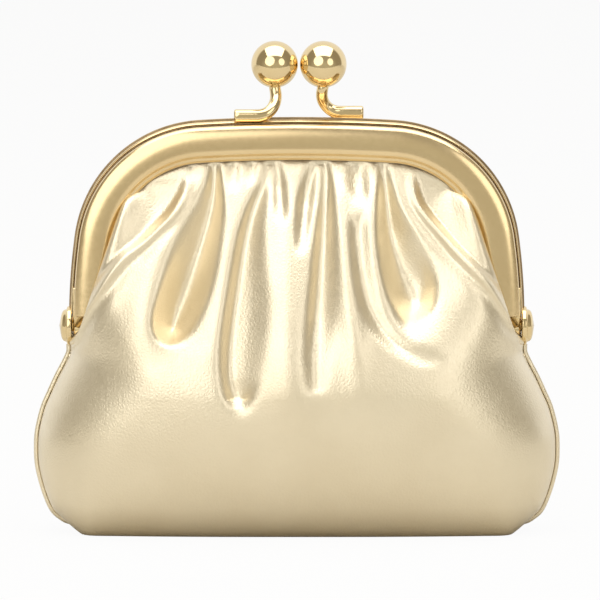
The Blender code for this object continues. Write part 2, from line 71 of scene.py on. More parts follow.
# Corners of the frame's bent sheet: outward, forward and rounding
FACE_ROUND = 0.003
FRAME_SECTION = [
    (0.0, 0.00015, 0.0001), (0.0, 0.00072, 0.0002), (-0.00030, 0.00090, 0.00012),
    (-0.00030, 0.00118, 0.00012), (-0.00004, 0.00140, 0.00018), (-0.00006, 0.00225, 0.0002),
    (-0.00034, 0.00250, 0.00015), (-0.00042, 0.00170, 0.0001), (-0.00070, 0.00170, 0.0001),
    (-0.00066, 0.00420, FACE_ROUND), (-0.00072, 0.00500, FACE_ROUND), (-0.00110, 0.00535, FACE_ROUND),
    (-0.00190, 0.00565, FACE_ROUND), (-0.00290, 0.00583, FACE_ROUND), (-0.00420, 0.00589, FACE_ROUND),
    (-0.00540, 0.00585, FACE_ROUND), (-0.00600, 0.00565, FACE_ROUND), (-0.00625, 0.00525, FACE_ROUND),
    (-0.00645, 0.00500, 0.0003), (-0.00680, 0.00498, 0.0004), (-0.00725, 0.00455, 0.0003),
    (-0.00740, 0.00385, 0.0001), (-0.00715, 0.00385, 0.0001), (-0.00680, 0.00430, 0.0003),
    (-0.00240, 0.00480, 0.0004), (-0.00130, 0.00360, 0.0004), (-0.00110, 0.00075, 0.0002),
    (-0.00690, 0.00075, 0.0001), (-0.00690, 0.00015, 0.0001),
]
# The leg's closed end: its span of the section and its back, and rise and inset of its stations
PLUG_SECTION = (7, 21)
PLUG_BACK = [(-0.0072, 0.0009), (-0.0009, 0.0009)]
PLUG_STATIONS = [
    (0.0014, 0.00022), (0.0, 0.00022), (-0.00015, 0.00028), (-0.00028, 0.00042), (-0.00034, 0.0007),
]
# Places of the section painted dark as their shade: mating face, groove beside the face, and the lip's
# underside
MATING_FORWARD = 0.0003
GROOVE_OUTWARD = (-0.0009, -0.00035)
GROOVE_FORWARD = (0.0015, 0.0023)
LIP_OUTWARD = -0.00722
LIP_FORWARD = 0.0038

# Hinge
BARREL_RADIUS = 0.0022
BARREL_DROP = 0.0011
# The barrel's hidden rear is flat, so that it clears the rear half's leg when the purse opens
BARREL_BACK = 0.0014
BARREL_SPAN = (0.0380, 0.04145)
PLATE_RADIUS = 0.0025
PLATE_SPAN = (0.0415, 0.0417)
LUG_RISE = 0.0070
LUG_DEPTHS = (0.00045, 0.0044)
LUG_ROUND = 0.00022
LUG_OVERLAP = 0.0006
LUG_START = math.radians(12)
LUG_STEPS = 40
# Span across, radius and drop below the hinge of the ends of a half's lugs
LUGS = {"front": (BARREL_SPAN, BARREL_RADIUS, BARREL_DROP), "rear": (PLATE_SPAN, PLATE_RADIUS, 0.0)}
RIVET_PLACE = 0.0418
RIVET_DROP = 0.0004
# Corners along and out from the rivet's axis, and their rounding
RIVET_PROFILE = [
    (-0.0047, 0.0, 0.0), (-0.0047, 0.0018, 0.0003), (-0.0041, 0.0018, 0.0001), (-0.0041, 0.0010, 0.0001),
    (0.0, 0.0010, 0.0001), (0.0, 0.00362, 0.0002), (0.0009, 0.00362, 0.00035), (0.0010, 0.00310, 0.0002),
    (0.0019, 0.00275, 0.0011), (0.0024, 0.0, 0.0),
]

# Clasp
BALL_RADIUS = 0.00435
BALL_PLACE = 0.0045
BALL_HEIGHT = 0.0871
BALL_STEPS = 49
# Both balls sit this far to the right of the middle
CLASP_SHIFT = 0.0004
STEM_RADIUS = 0.0011
STEM_BEND = 0.0035
STEM_PLACE = 0.00425
STEM_SIDES = 40
STEM_IN_BALL = 0.0008
# Steps of the foot, the bend and the neck, the share of the bend that is squared, and where the neck starts
FOOT_STEPS, BEND_STEPS, NECK_STEPS = 5, 24, 10
BEND_SQUARED = 0.6
NECK_START = 0.15
FOOT_END = 0.0120
FOOT_SIZE = (0.0026, 0.0025)
FOOT_SETBACK = 0.0022
FOOT_GAP = -0.0005
FOOT_SQUARENESS = 2.6
# Rounded end of the foot: distance from its end and share of its size, then where its even run starts
FOOT_STATIONS = [(0.0, 0.75), (0.00012, 0.93), (0.0004, 1.0)]
FOOT_RUN = 0.001

# Pouch, as in the CAD model, and the leather's place in the channel
POUCH_HALF_WIDTH = 0.0478
POUCH_HALF_DEPTH = 0.0185
LEATHER = 0.0008
LEATHER_DEPTH = 0.0030
EXIT_DROP = -0.0005
BASE_SEAM_HEIGHT = 0.0020
BELLY_SHARE = 0.64
FAN_SHARE = 1.45
SIDE_TAPER = 0.010
EXIT_RISE = 0.0118
SEAM_SHARES = [
    (0.0, 0.0), (0.36, 0.0), (0.68, 0.0), (0.80, 0.001), (0.882, 0.010), (0.915, 0.030), (0.943, 0.063),
    (0.968, 0.134), (0.986, 0.208), (0.997, 0.275), (1.000, 0.345), (0.996, 0.430), (0.975, 0.537),
    (0.949, 0.612), (0.9215, 0.686), (0.892, 0.755), (0.873, 0.808), (0.872, 0.850),
]
SEAM_STEPS = 24
EDGE_STEPS = 12
LOBE_SHARE = 4.4
LOBE_EDGE = (0.0375, 0.0450)
# Free edge of the front leather beside the leg: across, forward, up
SIDE_EDGE = [
    (0.0331, 0.0052, 0.0496), (0.0345, 0.0063, 0.0461), (0.0363, 0.0067, 0.0422),
    (0.0382, 0.0063, 0.0388), (0.0400, 0.0048, 0.0364), (0.0416, 0.0020, 0.0351),
]
ROLL_RADIUS = 0.0010
WELT_RADIUS = 0.00050
WELT_SEAT_SHARE = 0.7
WELT_RINGS = 150
WELT_SIDES = 16
# Beside its seam the panel turns round along a parabola of this radius, eased into the belly. The seam's line
# runs on over its top end for this, and the turn fades in over the heights of the foot.
EDGE_ROUND = 0.0095
EDGE_BLEND = 0.002
FLANK_STEP = 6
SEAM_RUN_ON = [(0.0418, 0.0380), (0.0416, 0.0420), (0.0416, 0.0520)]
FLANK_FOOT = (0.004, 0.012)
# Course of a column from the frame to the seam. The pairs go from columns that leave the frame downward to
# columns beside the legs, which turn back under it.
ENVELOPE_POWERS = (2.6, 0.45)
BASE_FADE = 2.2
TURN_BACK = (-0.95, -0.1)
FALL_LAG = (0.214, -0.30)
FALL_HANDLE = (0.80, 0.60)
DEPTH_RUSH = (0.30, 1.0)
BELLY_HANDLE = 0.62
UNDER_BELLY = 0.55
# Share of the exit line to each side over which its direction is taken
TANGENT_STEP = 0.01
SEAM_GAP = 0.0006
# Tuck at the top: its rows and its rise into the channel, and how it changes to the rolled free edge
TUCK_ROWS = 6
TUCK_RISE = 0.0050
TUCK_FADE = 0.04
ROLL_START_SHARE = 0.3
ROLL_FADE = 0.08

FLOOR_WHITENESS = 0.95
FLOOR_PAINT = (0.63, 0.615, 0.58)
# The room by height of the direction, from straight down to straight up, and where the white backdrop starts
ROOM = [
    (0.0, (0.46, 0.44, 0.39)), (0.44, (0.53, 0.51, 0.44)), (0.52, (0.56, 0.54, 0.46)),
    (0.70, (0.42, 0.40, 0.35)), (1.0, (0.45, 0.44, 0.41)),
]
SIDES = (0.34, 0.31, 0.25)
SIDES_EDGE = (-0.85, -0.35)
BACKDROP_EDGE = (0.15, 0.29)
SEEN_WHITE = (0.985, 0.985, 0.985)
FLOOR_WHITE = (0.995, 0.995, 0.995)
# From where to where behind the purse the floor turns white in the metal
MIRRORED_FLOOR = (0.15, 0.6)
FLOOR_HALF_WIDTH = 3.0
FLOOR_FRONT = -0.30
BACKDROP_PLACE = 3.4
BACKDROP_RADIUS = 0.5
BACKDROP_HEIGHT = 2.2
BACKDROP_STEPS = 17
# Lamps: azimuth to the right of the front and elevation in degrees, size in metres, radiance and shape
LAMP_DISTANCE = 1.2
LAMP_AIM = (0.0, 0.0, 0.05)
LAMPS = [
    ("overhead_softbox", 0, 76, (1.68, 1.34), 2.3, "RECTANGLE"),
    ("left_softbox", -25, 20, (1.02, 1.02), 1.45, "ELLIPSE"),
    ("right_softbox", 36, 15, (0.62, 0.70), 1.2, "ELLIPSE"),
]

COLUMNS = 440
UPPER_ROWS = 130
LOWER_ROWS = 70
CORNER_SHARE = 0.48
POINT_RADIUS = 1e-6
TINY = 1e-9
TINY_AREA = 1e-12

# Lining: columns and rows of the leather's grid that it follows, and how far it stays inside the leather
LINING_COLUMNS = slice(4, -4, 4)
LINING_ROWS = slice(8, -8, 3)
LINING_SPREAD = 9
LINING_SHRINK = 0.04
LINING_GAP = 0.0010
LINING = 0.0003
LINING_FLOOR = 0.0012


def smoothstep(low, high, value):
    t = np.clip((value - low) / (high - low), 0, 1)
    return t * t * (3 - 2 * t)


def mix(a, b, share):
    return a + (b - a) * share


def unit(vectors):
    return vectors / np.maximum(np.linalg.norm(vectors, axis=-1), TINY_AREA)[..., None]


def bezier(a, b, c, d, t):
    u = 1 - t
    return a * u**3 + 3 * b * u**2 * t + 3 * c * u * t**2 + d * t**3


def smooth_curve(points, per_span=4):
    """Catmull-Rom curve through points, as an array."""
    points = np.asarray(points, float)
    ends = np.vstack([2 * points[0] - points[1], points, 2 * points[-1] - points[-2]])
    t = (np.arange(per_span) / per_span)[:, None]
    path = []
    for before, start, end, after in zip(ends, ends[1:], ends[2:], ends[3:]):
        square = 2 * before - 5 * start + 4 * end - after
        cube = 3 * start - before - 3 * end + after
        path.append((2 * start + (end - before) * t + square * t**2 + cube * t**3) / 2)
    return np.vstack(path + [points[-1:]])


def path_shares(path):
    lengths = np.linalg.norm(np.diff(path, axis=0), axis=1)
    reached = np.concatenate([[0], np.cumsum(lengths)])
    return reached / reached[-1]


def at_shares(path, shares):
    """Points at shares of a path's length."""
    own = path_shares(path)
    return np.stack([np.interp(shares, own, path[:, k]) for k in range(path.shape[1])], axis=-1)


def rounded(corners, arc_steps=5, closed=True):
    """Outline of (a, b, radius) corners with each corner rounded by an arc-like curve."""
    outline = []
    count = len(corners)
    for i, (a, b, radius) in enumerate(corners):
        here = np.array([a, b])
        if not closed and i in (0, count - 1) or radius == 0:
            outline.append(here)
            continue
        ends = []
        for beside in (corners[i - 1], corners[(i + 1) % count]):
            away = np.array(beside[:2]) - here
            length = np.linalg.norm(away)
            ends.append(here + away / length * min(radius, CORNER_SHARE * length))
        start, end = ends
        for k in range(arc_steps + 1):
            t = k / arc_steps
            outline.append(start * (1 - t) ** 2 + 2 * here * t * (1 - t) + end * t**2)
    return np.array(outline)


def crown_angles():
    first = CROWN_RADIUS - SHOULDER_RADIUS
    second = SHOULDER_RADIUS - SIDE_RADIUS
    across = HALF_WIDTH - SIDE_RADIUS
    up = CROWN_RADIUS - FRAME_RISE
    turn = math.acos((across**2 + up**2 - first**2 - second**2) / (2 * first * second))
    lean = math.atan2(second * math.sin(turn), first + second * math.cos(turn))
    crown_end = math.atan2(across, up) - lean
    return crown_end, crown_end + turn


CROWN_END, SHOULDER_END = crown_angles()


def arch(heading, outward):
    """(x, z) of the frame's arch at headings from the vertical, moved outward."""
    turn = np.abs(heading)
    crown = np.where(turn > CROWN_END, CROWN_RADIUS - SHOULDER_RADIUS, 0.0)
    shoulder = np.where(turn > SHOULDER_END, SHOULDER_RADIUS - SIDE_RADIUS, 0.0)
    x = crown * math.sin(CROWN_END) + shoulder * math.sin(SHOULDER_END)
    z = crown * math.cos(CROWN_END) + shoulder * math.cos(SHOULDER_END)
    bend_radius = np.where(turn > CROWN_END, SHOULDER_RADIUS, CROWN_RADIUS)
    reach = np.where(turn > SHOULDER_END, SIDE_RADIUS, bend_radius) + outward
    side = np.where(heading < 0, -1.0, 1.0)
    return side * (x + reach * np.sin(turn)), FRAME_TOP - CROWN_RADIUS + z + reach * np.cos(turn)


def leg_heading(rise):
    return math.acos(rise / SIDE_RADIUS)


def arch_headings(end, crown_steps=10, shoulder_steps=44, side_steps=14):
    crown = np.linspace(0, CROWN_END, crown_steps, endpoint=False)
    shoulder = np.linspace(CROWN_END, SHOULDER_END, shoulder_steps, endpoint=False)
    half = np.concatenate([crown, shoulder, np.linspace(SHOULDER_END, end, side_steps + 1)])
    return np.concatenate([-half[:0:-1], half])


def facing(points, half):
    """Places of a half: the rear's are the front's, turned half round."""
    return points * np.array([-1.0, -1.0, 1.0]) if half == "rear" else points


def placed(name, data):
    obj = bpy.data.objects.new(name, data)
    bpy.context.scene.collection.objects.link(obj)
    return obj


def mesh_object(name, points, faces, material):
    mesh = bpy.data.meshes.new(name)
    mesh.from_pydata([tuple(p) for p in points.reshape(-1, 3)], [], faces)
    mesh.validate()
    mesh.update()
    mesh.shade_smooth()
    mesh.materials.append(material)
    return placed(name, mesh)


def grid_faces(rows, columns, wrap=False, offset=0, flip=False):
    """Quads of a grid stored row by row; wrap joins the last column to the first."""
    i, j = np.meshgrid(np.arange(rows - 1), np.arange(columns if wrap else columns - 1), indexing="ij")
    nxt = (j + 1) % columns
    here, below = i * columns, (i + 1) * columns
    quads = np.stack([here + j, here + nxt, below + nxt, below + j], -1).reshape(-1, 4) + offset
    return (quads[:, ::-1] if flip else quads).tolist()


def swept(name, rings, material, sharp=35):
    """Closed solid through rings of points, rings[i, j], with its ends capped."""
    count, around = rings.shape[:2]
    faces = grid_faces(count, around, wrap=True)
    faces.append(list(range(around)))
    faces.append([(count - 1) * around + j for j in reversed(range(around))])
    obj = mesh_object(name, rings, faces, material)
    fix_normals(obj)
    obj.data.set_sharp_from_angle(angle=math.radians(sharp))
    return obj


def fix_normals(obj):
    shape = bmesh.new()
    shape.from_mesh(obj.data)
    bmesh.ops.recalc_face_normals(shape, faces=shape.faces)
    shape.to_mesh(obj.data)
    shape.free()


def revolved(name, outline, place, material, segments=64, sharp=40):
    """Solid turned from (along, radius) points; place(along, a, b) gives world points."""
    turns = np.linspace(0, 2 * np.pi, segments, endpoint=False)
    along = np.repeat(outline[:, :1], segments, axis=1)
    radius = np.maximum(outline[:, 1:], POINT_RADIUS)
    points = place(along, radius * np.cos(turns), radius * np.sin(turns))
    return swept(name, points, material, sharp)


# Materials

# Spans of a noise that count from none to full
NARROW = (0.35, 0.65)
WIDE = (0.3, 0.7)
LEATHER_GOLD = (0.87, 0.77, 0.575)
# Darker gold, for the leather's random mottling and for the painted shade along its bottom
MOTTLED_AND_SHADED_GOLD = (0.52, 0.41, 0.23)
# Height above the floor up to which the leather is darkened with painted shade, and how much at the floor
PAINTED_SHADE_HEIGHT = 0.006
PAINTED_SHADE_SHARE = 0.42


def preset(made, values):
    """Gives the inputs of a node their values."""
    for key, value in values.items():
        made.inputs[key].default_value = value
    return made


class Nodes:
    """A node tree and short ways to add to it."""

    def __init__(self, tree):
        self.tree = tree

    def node(self, kind, **settings):
        made = self.tree.nodes.new(f"ShaderNode{kind}")
        for key, value in settings.items():
            setattr(made, key, value)
        return made

    def link(self, source, target):
        self.tree.links.new(source, target)

    def parts(self, source):
        made = self.node("SeparateXYZ")
        self.link(source, made.inputs[0])
        return made.outputs

    def spread(self, source, low, high, to_low=0, to_high=1):
        made = self.node("MapRange")
        preset(made, {"From Min": low, "From Max": high, "To Min": to_low, "To Max": to_high})
        self.link(source, made.inputs["Value"])
        return made.outputs["Result"]

    def maths(self, operation, a, b):
        made = self.node("Math", operation=operation)
        for value, socket in ((a, made.inputs[0]), (b, made.inputs[1])):
            if isinstance(value, (int, float)):
                socket.default_value = value
            else:
                self.link(value, socket)
        return made.outputs["Value"]

    def mixed(self, share, first, second):
        """Mix of two colours, each a constant or a socket."""
        made = self.node("Mix", data_type="RGBA")
        for value, socket in ((first, made.inputs["A"]), (second, made.inputs["B"])):
            if isinstance(value, tuple):
                socket.default_value = (*value, 1)
            else:
                self.link(value, socket)
        self.link(share, made.inputs["Factor"])
        return made.outputs["Result"]


class Shader(Nodes):
    """A Principled material."""

    def __init__(self, name, colour, roughness, metallic):
        self.material = bpy.data.materials.new(name)
        self.material.use_nodes = True
        super().__init__(self.material.node_tree)
        self.shader = self.tree.nodes["Principled BSDF"]
        preset(self.shader, {"Base Color": (*colour, 1), "Roughness": roughness, "Metallic": metallic})
        self.where = self.node("TexCoord").outputs["Object"]

    def texture(self, kind, values, where=None, **settings):
        made = preset(self.node(kind, **settings), values)
        self.link(where or self.where, made.inputs["Vector"])
        return made.outputs

    def noise(self, scale, detail=3.0, stretch=None, distortion=0.0):
        where = self.where
        if stretch:
            mapping = preset(self.node("Mapping"), {"Scale": stretch})
            self.link(where, mapping.inputs["Vector"])
            where = mapping.outputs["Vector"]
        values = {"Scale": scale, "Detail": detail, "Distortion": distortion}
        return self.texture("TexNoise", values, where)["Fac"]

    def cells(self, scale):
        made = self.texture("TexVoronoi", {"Scale": scale}, feature="DISTANCE_TO_EDGE")
        return made["Distance"]

    def bands(self, scale, direction):
        settings = {"wave_type": "BANDS", "bands_direction": direction}
        return self.texture("TexWave", {"Scale": scale}, **settings)["Fac"]

    def two_colours(self, share, first, second):
        self.link(self.mixed(share, first, second), self.shader.inputs["Base Color"])

    def roughness(self, source):
        self.link(source, self.shader.inputs["Roughness"])

    def bump(self, heights):
        """Bumps stacked one on another, as (height, distance in metres)."""
        normal = None
        for height, distance in heights:
            made = preset(self.node("Bump"), {"Distance": distance, "Strength": 1.0})
            self.link(height, made.inputs["Height"])
            if normal:
                self.link(normal, made.inputs["Normal"])
            normal = made.outputs["Normal"]
        self.link(normal, self.shader.inputs["Normal"])


def leather_material():
    made = Shader("pale_gold_leather", LEATHER_GOLD, 0.38, 0.94)
    preset(made.shader, {"Coat Weight": 0.5, "Coat Roughness": 0.28})
    cloud = made.noise(70, 4)
    fine = made.noise(1500, 3)
    height = made.parts(made.where)["Z"]
    # Painted shade: the leather darkens towards the floor, standing in for the shade under the purse
    rub_marks_and_bottom_shade = made.maths("MULTIPLY", made.spread(height, 0.0, PAINTED_SHADE_HEIGHT, 1.0, 0.0), PAINTED_SHADE_SHARE)
    tone = made.maths("ADD", made.spread(cloud, *NARROW, 0, 0.12), rub_marks_and_bottom_shade)
    made.two_colours(tone, LEATHER_GOLD, MOTTLED_AND_SHADED_GOLD)
    patches = made.spread(cloud, *WIDE, -0.03, 0.03)
    made.roughness(made.maths("ADD", patches, made.spread(fine, *WIDE, 0.35, 0.42)))
    pebble = made.spread(made.cells(1500), 0.0, 0.30)
    wrinkle = made.noise(900, 4, distortion=1.5)
    made.bump([(cloud, 0.00005), (wrinkle, 0.00002), (pebble, 0.000018), (fine, 0.000005)])
    return made.material


def metal(name, colour, roughness, scales, tones, rub, patch, bumps):
    """Plating with soft patches and fine rub marks; scales and bumps are of the patches and of the marks."""
    made = Shader(name, colour, roughness, 1.0)
    cloud, rub_marks_and_bottom_shade = (made.noise(scale, 3) for scale in scales)
    made.two_colours(made.spread(cloud, *NARROW), *tones)
    patches = made.spread(cloud, *WIDE, 0, patch)
    made.roughness(made.maths("ADD", made.spread(rub_marks_and_bottom_shade, *WIDE, *rub), patches))
    made.bump([(height, distance) for height, distance in zip((cloud, rub_marks_and_bottom_shade), bumps) if distance])
    return made.material


def lining_material():
    made = Shader("lining_cloth", (0.55, 0.44, 0.30), 0.8, 0.0)
    preset(made.shader, {"Sheen Weight": 0.3})
    weave = made.maths("MULTIPLY", made.bands(700, "X"), made.bands(700, "Z"))
    cloud = made.noise(140, 3)
    made.two_colours(made.spread(cloud, *WIDE), (0.58, 0.47, 0.33), (0.50, 0.40, 0.27))
    made.roughness(made.spread(weave, 0, 1, 0.72, 0.86))
    made.bump([(cloud, 0.0003), (weave, 0.00004)])
    return made.material


def paper_material():
    made = Shader("kraft_paper", (0.72, 0.62, 0.46), 0.9, 0.0)
    twist = made.noise(1200, 2, stretch=(1, 1, 4))
    made.two_colours(made.spread(twist, *WIDE), (0.76, 0.66, 0.50), (0.66, 0.56, 0.41))
    made.roughness(made.spread(twist, *WIDE, 0.8, 0.95))
    made.bump([(twist, 0.00008)])
    return made.material


LEATHER_LOOK = leather_material()
SATIN = metal("satin_gold", (0.86, 0.67, 0.385), 0.18, (60, 1400), ((0.88, 0.69, 0.40), (0.83, 0.64, 0.36)),
              (0.15, 0.20), 0.02, (0.00003, 0.000001))
POLISHED = metal("polished_gold", (0.84, 0.67, 0.39), 0.08, (120, 2500),
                 ((0.85, 0.68, 0.40), (0.82, 0.65, 0.36)), (0.06, 0.12), 0, (0.00001, 0))
# Dark gold painted on the frame's recesses as their shade
RECESS_SHADE_GOLD = metal("painted_recess_shade_gold", (0.36, 0.26, 0.15), 0.36, (300, 2200),
                  ((0.40, 0.29, 0.17), (0.28, 0.20, 0.11)), (0.30, 0.45), 0, (0, 0.000003))
LINING_LOOK = lining_material()
PAPER = paper_material()


# Frame, hinges and clasp


def frame_shell(half):
    section = rounded(FRAME_SECTION)
    headings = arch_headings(leg_heading(LEG_END_RISE))
    x, z = arch(headings[:, None], section[:, 0] - INSET[half])
    forward = np.broadcast_to(section[:, 1], x.shape)
    rings = np.stack([x, -forward, z], axis=-1)
    obj = swept(f"{half}_frame_shell", facing(rings, half), SATIN)
    darken_recesses(obj, section)
    finish_metal(obj, f"{half}_half", f"{half}_frame")
    for side, name in ((-1, "left"), (1, "right")):
        leg_plug(half, side, name)


def darken_recesses(obj, section):
    """Gives the mating face, the groove beside the face and the lip's underside a dark gold painted on as
    their shade.
    """
    middles = (section + np.roll(section, -1, axis=0)) / 2
    outward, forward = middles.T
    groove = (outward > GROOVE_OUTWARD[0]) & (outward < GROOVE_OUTWARD[1])
    groove &= (forward > GROOVE_FORWARD[0]) & (forward < GROOVE_FORWARD[1])
    lip = (outward < LIP_OUTWARD) & (forward > LIP_FORWARD)
    dark = (forward < MATING_FORWARD) | groove | lip
    obj.data.materials.append(RECESS_SHADE_GOLD)
    for face in obj.data.polygons:
        if len(face.vertices) == 4 and dark[face.index % len(section)]:
            face.material_index = 1


def leg_plug(half, side, name):
    """Solid that closes the open end of a leg's sheet, with a rounded underside."""
    section = rounded(FRAME_SECTION[PLUG_SECTION[0] : PLUG_SECTION[1] + 1], closed=False)
    section = np.vstack([section, PLUG_BACK])
    centre = (section.max(axis=0) + section.min(axis=0)) / 2
    rings = []
    for rise, shrink in PLUG_STATIONS:
        size = 1 - 2 * shrink / (section.max(axis=0) - section.min(axis=0))
        shape = centre + (section - centre) * size
        x, _ = arch(side * leg_heading(LEG_END_RISE + rise), shape[:, 0] - INSET[half])
        z = np.full_like(x, HINGE_HEIGHT + LEG_END_RISE + rise)
        rings.append(np.stack([x, -shape[:, 1], z], axis=-1))
    obj = swept(f"{half}_{name}_leg_end", facing(np.array(rings), half), SATIN)
    finish_metal(obj, f"{half}_half", f"{half}_frame")


def finish_metal(obj, body, node):
    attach(obj, body)
    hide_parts(node)


def lug(half, side, span, radius, drop):
    """Barrel or plate round the hinge axis, with the strap that rises into the leg."""
    back, front = LUG_DEPTHS
    turns = np.linspace(LUG_START, math.acos(back / radius) - 2 * math.pi, LUG_STEPS)
    outline = [(back, LUG_RISE), (front, LUG_RISE), (front, LEG_END_RISE + LUG_OVERLAP)]
    outline += [(radius * math.cos(t), radius * math.sin(t) - drop) for t in turns]
    forward, up = np.array(outline).T
    if half == "front":
        forward = np.maximum(forward, -BARREL_BACK)
    rings = [np.stack([np.full_like(up, side * across), -forward, HINGE_HEIGHT + up], -1) for across in span]
    side_name = "left" if (side < 0) == (half == "front") else "right"
    obj = swept(f"{half}_{side_name}_lug", facing(np.array(rings), half), POLISHED)
    bevel = obj.modifiers.new("edges", "BEVEL")
    bevel.width = LUG_ROUND
    bevel.segments = 3
    finish_metal(obj, f"{half}_half", f"{half}_frame")


def rivet(name, side):
    outline = rounded(RIVET_PROFILE, closed=False)
    outline[:, 0] += RIVET_PLACE

    def place(along, a, b):
        return np.stack([side * along, a, HINGE_HEIGHT - RIVET_DROP + b], -1)

    obj = revolved(f"{name}_turned", outline, place, POLISHED)
    finish_metal(obj, "rear_half", name)


def ball(half):
    start = math.asin(STEM_RADIUS / BALL_RADIUS)
    turns = np.linspace(start, math.pi, BALL_STEPS)
    outline = np.stack([-BALL_RADIUS * np.cos(turns), BALL_RADIUS * np.sin(turns)], -1)
    side = -1 if half == "front" else 1

    def place(along, a, b):
        return np.stack([side * BALL_PLACE + CLASP_SHIFT + a, b, BALL_HEIGHT + along], -1)

    obj = revolved(f"{half}_clasp_ball", outline, place, POLISHED, segments=96)
    finish_metal(obj, f"{half}_half", f"{half}_ball")


def stem(half):
    seat = FRAME_TOP - INSET[half]
    foot_height = seat + FOOT_GAP + FOOT_SIZE[1] / 2
    bend_place = STEM_PLACE + STEM_BEND
    # Stations: x, z, turn, roundness and share of the size
    stations = [(-FOOT_END + gone, foot_height, 0.0, 0.0, size) for gone, size in FOOT_STATIONS]
    for x in np.linspace(-FOOT_END + FOOT_RUN, -bend_place, FOOT_STEPS):
        stations.append((x, foot_height, 0.0, 0.0, 1.0))
    for i in range(1, BEND_STEPS + 1):
        share = i / BEND_STEPS
        turn = math.pi / 2 * share
        x = -bend_place + STEM_BEND * math.sin(turn)
        z = foot_height + STEM_BEND * (1 - math.cos(turn))
        stations.append((x, z, turn, smoothstep(0, BEND_SQUARED, share), 1.0))
    last_z = stations[-1][1]
    neck = BALL_HEIGHT - BALL_RADIUS
    for share in np.linspace(NECK_START, 1, NECK_STEPS):
        x = mix(-STEM_PLACE, -BALL_PLACE, smoothstep(0, 1, share))
        stations.append((x, mix(last_z, neck + STEM_IN_BALL, share), math.pi / 2, 1.0, 1.0))
    angles = 2 * np.pi * (np.arange(STEM_SIDES) + 0.5) / STEM_SIDES
    rings = []
    for x, z, turn, round_share, size in stations:
        forward = mix(FOOT_SETBACK, 0.0, smoothstep(foot_height, neck, z))
        tall = mix(FOOT_SIZE[1] / 2, STEM_RADIUS, round_share) * size
        wide = mix(FOOT_SIZE[0] / 2, STEM_RADIUS, round_share) * size
        power = 2 / mix(FOOT_SQUARENESS, 2.0, round_share)
        up = np.sign(np.cos(angles)) * np.abs(np.cos(angles)) ** power * tall
        out = np.sign(np.sin(angles)) * np.abs(np.sin(angles)) ** power * wide
        rings.append(np.stack([x - math.sin(turn) * up, -forward + out, z + math.cos(turn) * up], -1))
    rings = facing(np.array(rings), half)
    rings[..., 0] += CLASP_SHIFT
    obj = swept(f"{half}_clasp_stem", rings, POLISHED, sharp=60)
    finish_metal(obj, f"{half}_half", f"{half}_ball_stem")


# Folds of the front panel. Places are pixels of the 600 px frame, heights and widths are metres.

# A valley opens below the frame: its outline, the line of its bottom from head to foot, its depths at even
# steps of that line, how deep and wide the slope outside its foot is, and over which span of the line the
# crease at its bottom turns into a round hollow
Valley = namedtuple("Valley", "outline bottom depths apron reach rounding", defaults=(0, 0.001, (0.55, 0.90)))
# A ridge runs along a line, or a crease where its height is below zero: half widths and heights at both ends
Ridge = namedtuple("Ridge", "line widths heights")

VALLEYS = [
    Valley(
        [(214, 152), (208, 178), (196, 198), (181, 225), (171, 254), (162, 288), (155, 316), (158, 334),
         (171, 343), (187, 335), (201, 311), (214, 276), (221, 242), (222, 212), (219, 182)],
        [(215, 156), (216, 184), (212, 214), (202, 248), (189, 288), (177, 318), (171, 340)],
        (0.0016, 0.0036, 0.0046, 0.0066), 0.0010, 0.0075, (0.45, 0.80),
    ),
    Valley(
        [(272, 150), (263, 178), (250, 203), (240, 232), (232, 268), (225, 310), (221, 350), (223, 385),
         (231, 403), (242, 410), (253, 400), (262, 374), (268, 335), (270, 300), (267, 262), (266, 222),
         (271, 190)],
        [(268, 160), (259, 190), (249, 218), (242, 252), (237, 292), (231, 335), (229, 375), (234, 402)],
        (0.0014, 0.0031, 0.0036, 0.0026), 0.0002, 0.0060, (0.9, 1.0),
    ),
    Valley(
        [(274, 152), (271, 178), (273, 200), (278, 222), (284, 224), (287, 206), (286, 184), (280, 164)],
        [(276, 158), (279, 190), (281, 216)], (0.0010, 0.0018, 0.0010),
    ),
    Valley(
        [(319, 152), (304, 176), (298, 198), (296, 228), (298, 256), (306, 246), (313, 220), (319, 192)],
        [(318, 158), (308, 184), (303, 212), (301, 246)], (0.0010, 0.0021, 0.0010),
    ),
    Valley(
        [(322, 152), (320, 190), (316, 238), (312, 288), (309, 330), (307, 372), (313, 396), (324, 384),
         (333, 350), (337, 312), (338, 280), (336, 240), (332, 190), (328, 168)],
        [(325, 158), (325, 190), (321, 240), (317, 285), (314, 320), (311, 355), (315, 388)],
        (0.0014, 0.0026, 0.0027, 0.0010), 0.0002, 0.0060, (0.9, 1.0),
    ),
    Valley(
        [(360, 214), (350, 226), (352, 250), (357, 282), (365, 314), (381, 340), (403, 361), (428, 369),
         (448, 360), (430, 349), (408, 340), (391, 320), (379, 295), (372, 262), (369, 230)],
        [(356, 224), (356, 256), (361, 290), (371, 316), (390, 340), (424, 359)],
        (0.0009, 0.0019, 0.0019, 0.0005), 0.0001, 0.0050, (0.9, 1.0),
    ),
    Valley(
        [(382, 152), (380, 192), (378, 222), (379, 250), (385, 283), (395, 309), (407, 327), (421, 322),
         (431, 308), (436, 288), (433, 270), (425, 249), (413, 226), (398, 200), (388, 176)],
        [(384, 158), (385, 196), (388, 228), (395, 256), (405, 283), (417, 304)],
        (0.0016, 0.0042, 0.0038), 0.0014, 0.0070, (0.6, 0.95),
    ),
    Valley([(236, 148), (227, 170), (230, 190), (236, 192), (240, 172)], [(235, 156), (233, 184)],
           (0.0005, 0.0009, 0.0006)),
    Valley([(254, 148), (246, 168), (249, 185), (254, 186), (258, 170)], [(252, 156), (251, 180)],
           (0.0005, 0.0009, 0.0006)),
    Valley([(345, 150), (343, 174), (351, 194), (361, 206), (368, 190), (371, 152)], [(357, 158), (359, 192)],
           (0.0006, 0.0014, 0.0010)),
    Valley([(195, 152), (189, 170), (192, 184), (198, 176)], [(194, 158), (193, 176)],
           (0.0004, 0.0007, 0.0004)),
]

